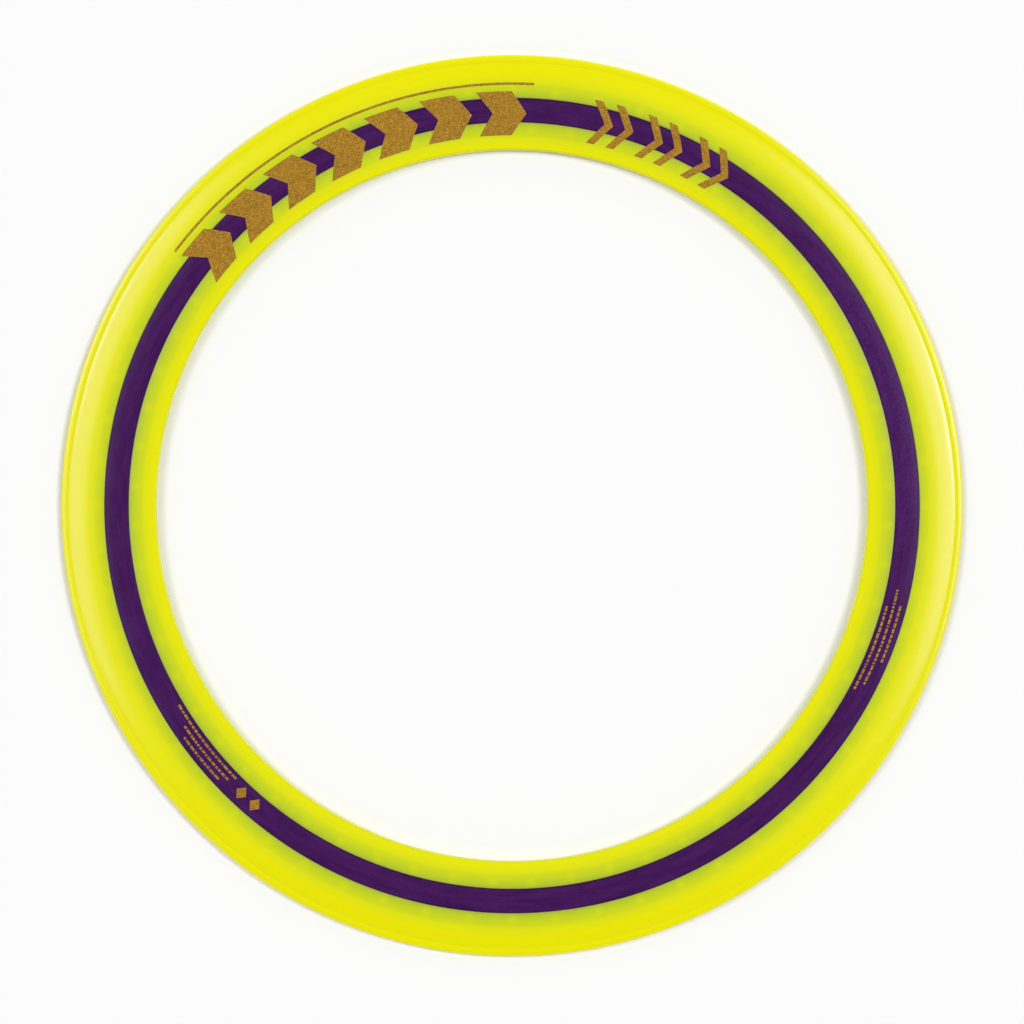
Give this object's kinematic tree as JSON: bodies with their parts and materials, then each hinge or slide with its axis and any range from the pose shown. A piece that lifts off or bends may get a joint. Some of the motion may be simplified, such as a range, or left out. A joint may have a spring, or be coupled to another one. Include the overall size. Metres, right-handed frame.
{
  "type": "flying ring",
  "caption": "Thin flat throwing ring with a hard perforated core, a soft outer rim with a grooved lip and a soft rounded inner rim.",
  "frame": {"origin": "on the ring's axis, in the plane of its flat underside", "axes": "+Z along the ring's axis, up towards the printed side with the grooved lip; +X through one of the core's outer holes"},
  "size_m": [0.3302, 0.3302, 0.0036],
  "materials": {
    "core_plastic": "moulded, lightly scuffed semi-gloss purple",
    "soft_rim": "smooth, slightly translucent fluorescent yellow with a soft sheen",
    "gold_ink": "printed metallic gold ink film with fine flake, on top of the rims and the band"
  },
  "bodies": {
    "root": {"core_ring": "core_plastic", "outer_rim": "soft_rim", "inner_rim": "soft_rim"}
  },
  "joints": []
}
